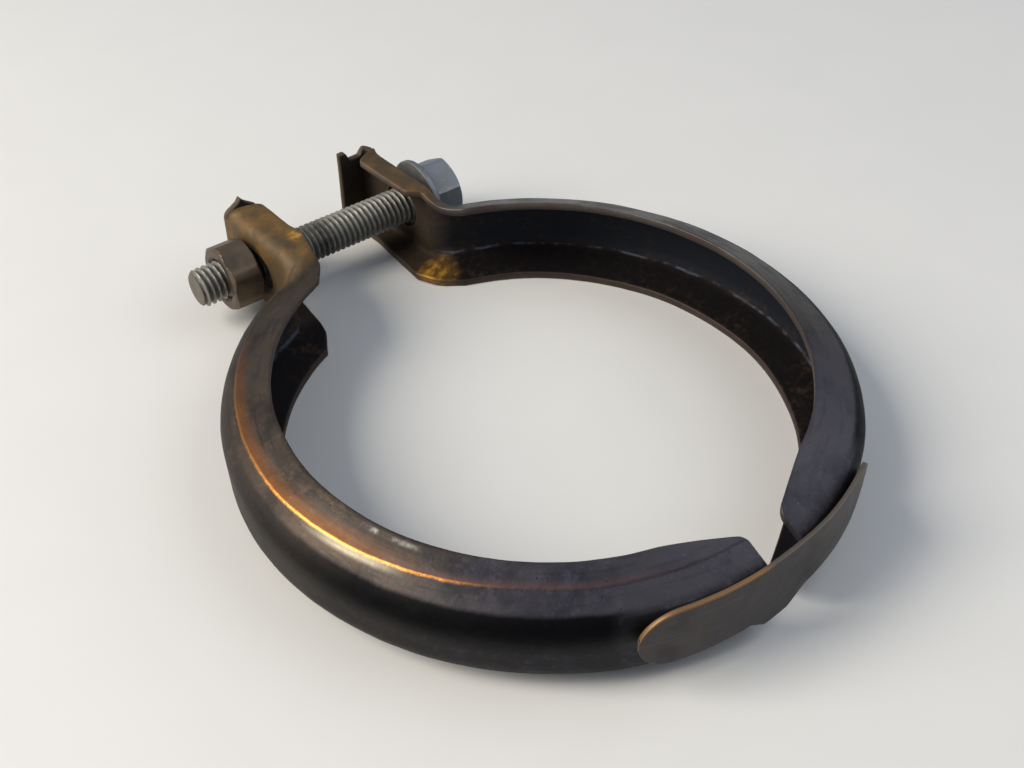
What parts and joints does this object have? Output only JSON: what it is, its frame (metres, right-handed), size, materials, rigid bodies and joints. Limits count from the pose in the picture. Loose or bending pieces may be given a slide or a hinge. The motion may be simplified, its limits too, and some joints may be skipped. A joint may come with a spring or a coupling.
{
  "type": "exhaust clamp",
  "caption": "Split V-section ring clamp for joining exhaust flanges, with a spring strap hinge and a cross screw drawing its ears together",
  "frame": {"origin": "on the ring's axis, level with the lower free edges that rest on a table", "axes": "+Z along the ring's axis, +Y from the hinge strap to the ears, +X across the halves from the screw's tip to its head"},
  "size_m": [0.113, 0.1358, 0.0193],
  "materials": {
    "heat_stained_steel": "worn, heat-tinted brown and violet with gold streaks",
    "strap_steel": "dull grey-brown, heat-stained",
    "zinc_steel": "aged zinc, matt grey-blue",
    "browned_nut_steel": "smooth, browned by heat"
  },
  "bodies": {
    "rear_half": {"rear_shell": "heat_stained_steel", "hinge_strap": "strap_steel"},
    "front_half": {"front_shell": "heat_stained_steel"},
    "screw": {"screw": "zinc_steel"},
    "nut": {"nut": "browned_nut_steel"}
  },
  "joints": [
    {"name": "screw_spin", "type": "hinge", "parent": "rear_half", "child": "screw", "pos_m": [0.0218, 0.06445, 0.00965], "axis": [-0.998, 0.0628, 0], "range_deg": [-1550, 5285]},
    {"name": "strap_flex", "type": "hinge", "parent": "rear_half", "child": "front_half", "pos_m": [0, -0.057, 0.00965], "axis": [0, 0, -1], "range_deg": [-2.5, 8.5]},
    {"name": "nut_travel", "type": "slide", "parent": "rear_half", "child": "nut", "axis": [0.998, -0.0628, 0], "range_m": [-0.0054, 0.01837]}
  ],
  "couplings": [
    {"joint": "nut_travel", "follows": "screw_spin", "m_per_rad": 0.00019894},
    {"joint": "strap_flex", "follows": "screw_spin", "ratio": 0.0016075}
  ]
}
